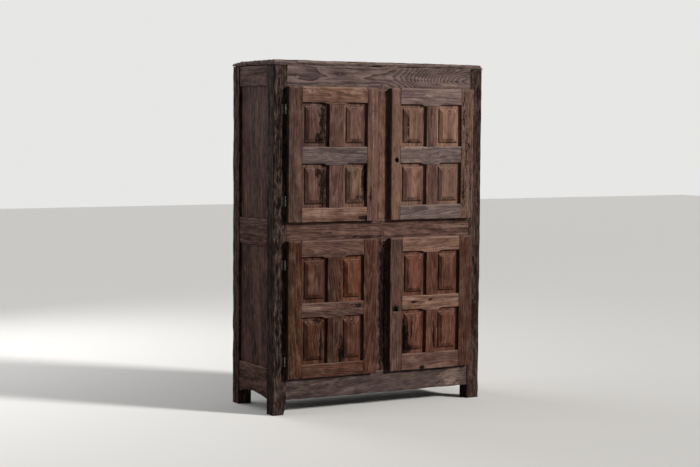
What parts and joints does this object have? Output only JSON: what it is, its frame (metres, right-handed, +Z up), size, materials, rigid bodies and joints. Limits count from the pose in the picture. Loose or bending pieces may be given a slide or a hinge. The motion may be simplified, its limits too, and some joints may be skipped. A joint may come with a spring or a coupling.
{
  "type": "trastero cabinet",
  "caption": "Tall free-standing wooden cabinet with a post-and-rail frame, panelled sides and hinged frame-and-panel doors over shelves.",
  "frame": {"origin": "on the floor, under the middle of the whole cabinet", "axes": "+X to the right along the front, +Y from the front to the back, +Z up"},
  "size_m": [1.336, 0.5304, 1.9],
  "materials": {
    "weathered_post_wood": "deeply weathered and waxed, grey-brown",
    "frame_wood": "waxed reclaimed wood, grey-brown",
    "door_frame_wood": "waxed reclaimed wood, warm brown",
    "door_panel_wood": "waxed reclaimed wood, reddish brown",
    "plain_inside_wood": "plain sawn wood",
    "dark_iron": "dark forged iron, worn bright on the knuckles"
  },
  "bodies": {
    "frame": {"back_boards": "plain_inside_wood", "floor_boards": "plain_inside_wood", "frame_pegs": "frame_wood", "front_bottom_rail": "frame_wood", "front_left_post": "weathered_post_wood", "front_middle_rail": "frame_wood", "front_right_post": "weathered_post_wood", "front_top_rail": "frame_wood", "hinge_pins": "dark_iron", "left_bottom_rail": "frame_wood", "left_middle_rail": "frame_wood", "left_side_panels": "frame_wood", "left_top_rail": "frame_wood", "lower_centre_post": "frame_wood", "lower_left_frame_leaves": "dark_iron", "lower_right_frame_leaves": "dark_iron", "lower_shelf": "plain_inside_wood", "middle_shelf": "plain_inside_wood", "rear_left_post": "weathered_post_wood", "rear_rails": "plain_inside_wood", "rear_right_post": "weathered_post_wood", "right_bottom_rail": "frame_wood", "right_middle_rail": "frame_wood", "right_side_panels": "frame_wood", "right_top_rail": "frame_wood", "shelf_runners": "plain_inside_wood", "top_boards": "frame_wood", "upper_centre_post": "frame_wood", "upper_left_frame_leaves": "dark_iron", "upper_right_frame_leaves": "dark_iron", "upper_shelf": "plain_inside_wood"},
    "upper_left_door": {"upper_left_door_leaves": "dark_iron", "upper_left_free_stile": "door_frame_wood", "upper_left_hinge_stile": "door_frame_wood", "upper_left_muntins": "door_frame_wood", "upper_left_panels": "door_panel_wood", "upper_left_rails": "door_frame_wood"},
    "upper_right_door": {"upper_right_door_leaves": "dark_iron", "upper_right_free_stile": "door_frame_wood", "upper_right_hinge_stile": "door_frame_wood", "upper_right_lock_case": "dark_iron", "upper_right_muntins": "door_frame_wood", "upper_right_panels": "door_panel_wood", "upper_right_rails": "door_frame_wood"},
    "lower_left_door": {"lower_left_door_leaves": "dark_iron", "lower_left_free_stile": "door_frame_wood", "lower_left_hinge_stile": "door_frame_wood", "lower_left_muntins": "door_frame_wood", "lower_left_panels": "door_panel_wood", "lower_left_rails": "door_frame_wood"},
    "lower_right_door": {"lower_right_door_leaves": "dark_iron", "lower_right_free_stile": "door_frame_wood", "lower_right_hinge_stile": "door_frame_wood", "lower_right_lock_case": "dark_iron", "lower_right_muntins": "door_frame_wood", "lower_right_panels": "door_panel_wood", "lower_right_rails": "door_frame_wood"},
    "upper_right_bolt": {"upper_right_lock_bolt": "dark_iron"},
    "lower_right_bolt": {"lower_right_lock_bolt": "dark_iron"}
  },
  "joints": [
    {"name": "upper_left_door_swing", "type": "hinge", "parent": "frame", "child": "upper_left_door", "pos_m": [-0.5945, -0.24125, 1.3985], "axis": [0, 0, -1], "range_deg": [0, 110]},
    {"name": "upper_right_door_swing", "type": "hinge", "parent": "frame", "child": "upper_right_door", "pos_m": [0.5945, -0.24125, 1.3985], "axis": [0, 0, 1], "range_deg": [0, 110]},
    {"name": "lower_left_door_swing", "type": "hinge", "parent": "frame", "child": "lower_left_door", "pos_m": [-0.5945, -0.24125, 0.5655], "axis": [0, 0, -1], "range_deg": [0, 110]},
    {"name": "lower_right_door_swing", "type": "hinge", "parent": "frame", "child": "lower_right_door", "pos_m": [0.5945, -0.24125, 0.5655], "axis": [0, 0, 1], "range_deg": [0, 110]},
    {"name": "upper_right_bolt_throw", "type": "slide", "parent": "upper_right_door", "child": "upper_right_bolt", "axis": [-1, 0, 0], "range_m": [0, 0.016]},
    {"name": "lower_right_bolt_throw", "type": "slide", "parent": "lower_right_door", "child": "lower_right_bolt", "axis": [-1, 0, 0], "range_m": [0, 0.016]}
  ]
}
